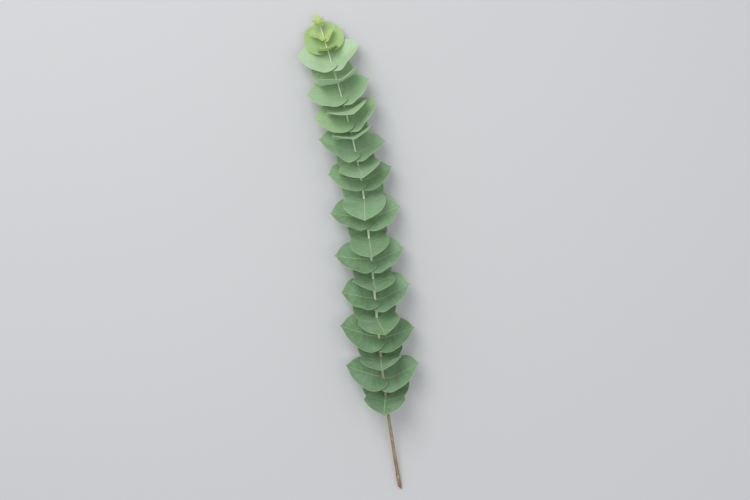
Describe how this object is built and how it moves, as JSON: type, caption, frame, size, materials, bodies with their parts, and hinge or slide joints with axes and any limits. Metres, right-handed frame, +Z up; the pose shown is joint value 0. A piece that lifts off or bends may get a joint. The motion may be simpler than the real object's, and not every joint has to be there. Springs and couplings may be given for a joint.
{
  "type": "eucalyptus branch",
  "caption": "Cut branch of juvenile eucalyptus lying down: a slender stem with opposite pairs of broad clasping waxy leaves, each pair a quarter turn from the last, and a folded growing tip",
  "frame": {"origin": "middle of the branch's box in plan, on the surface that it lies on", "axes": "+X from the cut end to the growing tip, +Z up, away from the surface that it lies on"},
  "size_m": [0.6536, 0.1104, 0.0755],
  "materials": {
    "leaf_mature": "waxy blue-green leaf with a pale midrib and margin, matte",
    "leaf_middle": "waxy soft green leaf with a pale midrib and margin, matte",
    "leaf_young": "young yellow-green leaf, softly glossy",
    "stem": "pale green bloom at the tip, red-brown and woody at the cut end",
    "bud": "pale yellow-green folded young leaves"
  },
  "bodies": {
    "root": {"stem": "stem", "leaf_01_front": "leaf_mature", "leaf_01_back": "leaf_mature", "leaf_02_left": "leaf_mature", "leaf_02_right": "leaf_mature", "leaf_03_front": "leaf_mature", "leaf_03_back": "leaf_mature", "leaf_04_left": "leaf_mature", "leaf_04_right": "leaf_mature", "leaf_05_front": "leaf_mature", "leaf_05_back": "leaf_mature", "leaf_06_left": "leaf_mature", "leaf_06_right": "leaf_mature", "leaf_07_front": "leaf_mature", "leaf_07_back": "leaf_mature", "leaf_08_left": "leaf_mature", "leaf_08_right": "leaf_mature", "leaf_09_front": "leaf_mature", "leaf_09_back": "leaf_mature", "leaf_10_left": "leaf_mature", "leaf_10_right": "leaf_mature", "leaf_11_front": "leaf_mature", "leaf_11_back": "leaf_mature", "leaf_12_left": "leaf_mature", "leaf_12_right": "leaf_mature", "leaf_13_front": "leaf_middle", "leaf_13_back": "leaf_middle", "leaf_14_left": "leaf_middle", "leaf_14_right": "leaf_middle", "leaf_15_front": "leaf_middle", "leaf_15_back": "leaf_middle", "leaf_16_left": "leaf_middle", "leaf_16_right": "leaf_middle", "leaf_17_front": "leaf_middle", "leaf_17_back": "leaf_middle", "leaf_18_left": "leaf_middle", "leaf_18_right": "leaf_middle", "leaf_19_front": "leaf_middle", "leaf_19_back": "leaf_middle", "leaf_20_left": "leaf_middle", "leaf_20_right": "leaf_middle", "leaf_21_front": "leaf_young", "leaf_21_back": "leaf_young", "leaf_22_left": "leaf_young", "leaf_22_right": "leaf_young", "tip_bud": "bud"}
  },
  "joints": []
}
